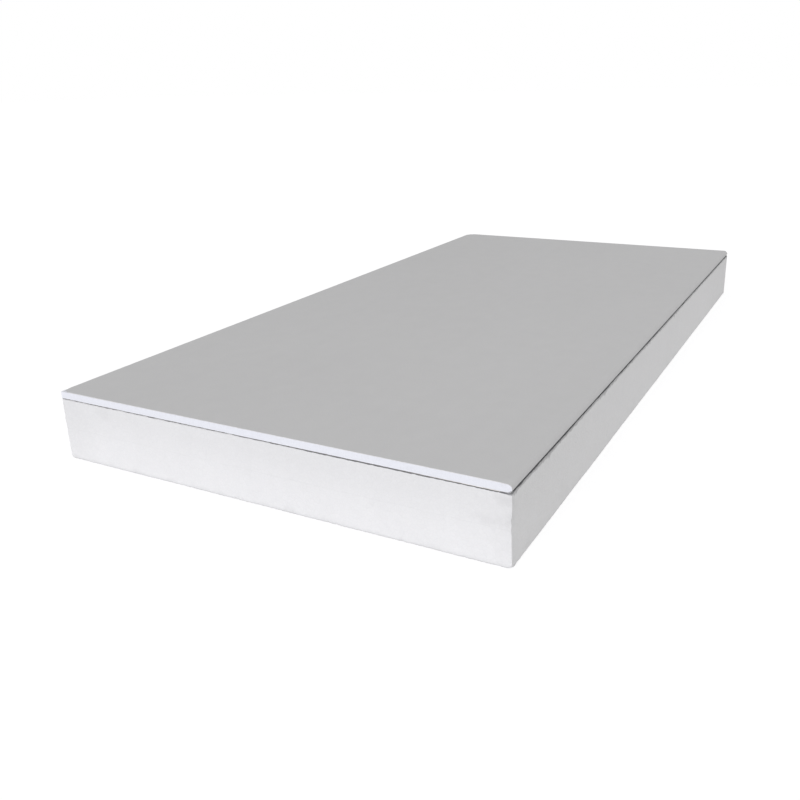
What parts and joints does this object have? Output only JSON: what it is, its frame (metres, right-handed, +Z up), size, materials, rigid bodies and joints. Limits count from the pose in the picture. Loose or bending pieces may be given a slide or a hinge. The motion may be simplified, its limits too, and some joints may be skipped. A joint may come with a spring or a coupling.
{
  "type": "insulated drywall sheet",
  "caption": "Paper-faced gypsum board glued to a thick slab of white polystyrene foam, lying flat with its grey face up, for lining and insulating a wall.",
  "frame": {"origin": "on the floor under the middle of the panel, at the centre of the foam's underside", "axes": "+X across the panel towards the rounded, paper-bound long edge, +Y along the panel away from the end that faces the viewer, +Z up through the thickness towards the grey paper face"},
  "size_m": [0.6, 1.2, 0.09],
  "materials": {
    "face_paper": "matte",
    "gypsum": "matte",
    "back_paper": "matte",
    "adhesive": "matte",
    "polystyrene_foam": "matte"
  },
  "bodies": {
    "root": {"face_paper": "face_paper", "gypsum_core": "gypsum", "back_paper": "back_paper", "adhesive_layer": "adhesive", "insulation_board": "polystyrene_foam"}
  },
  "joints": []
}
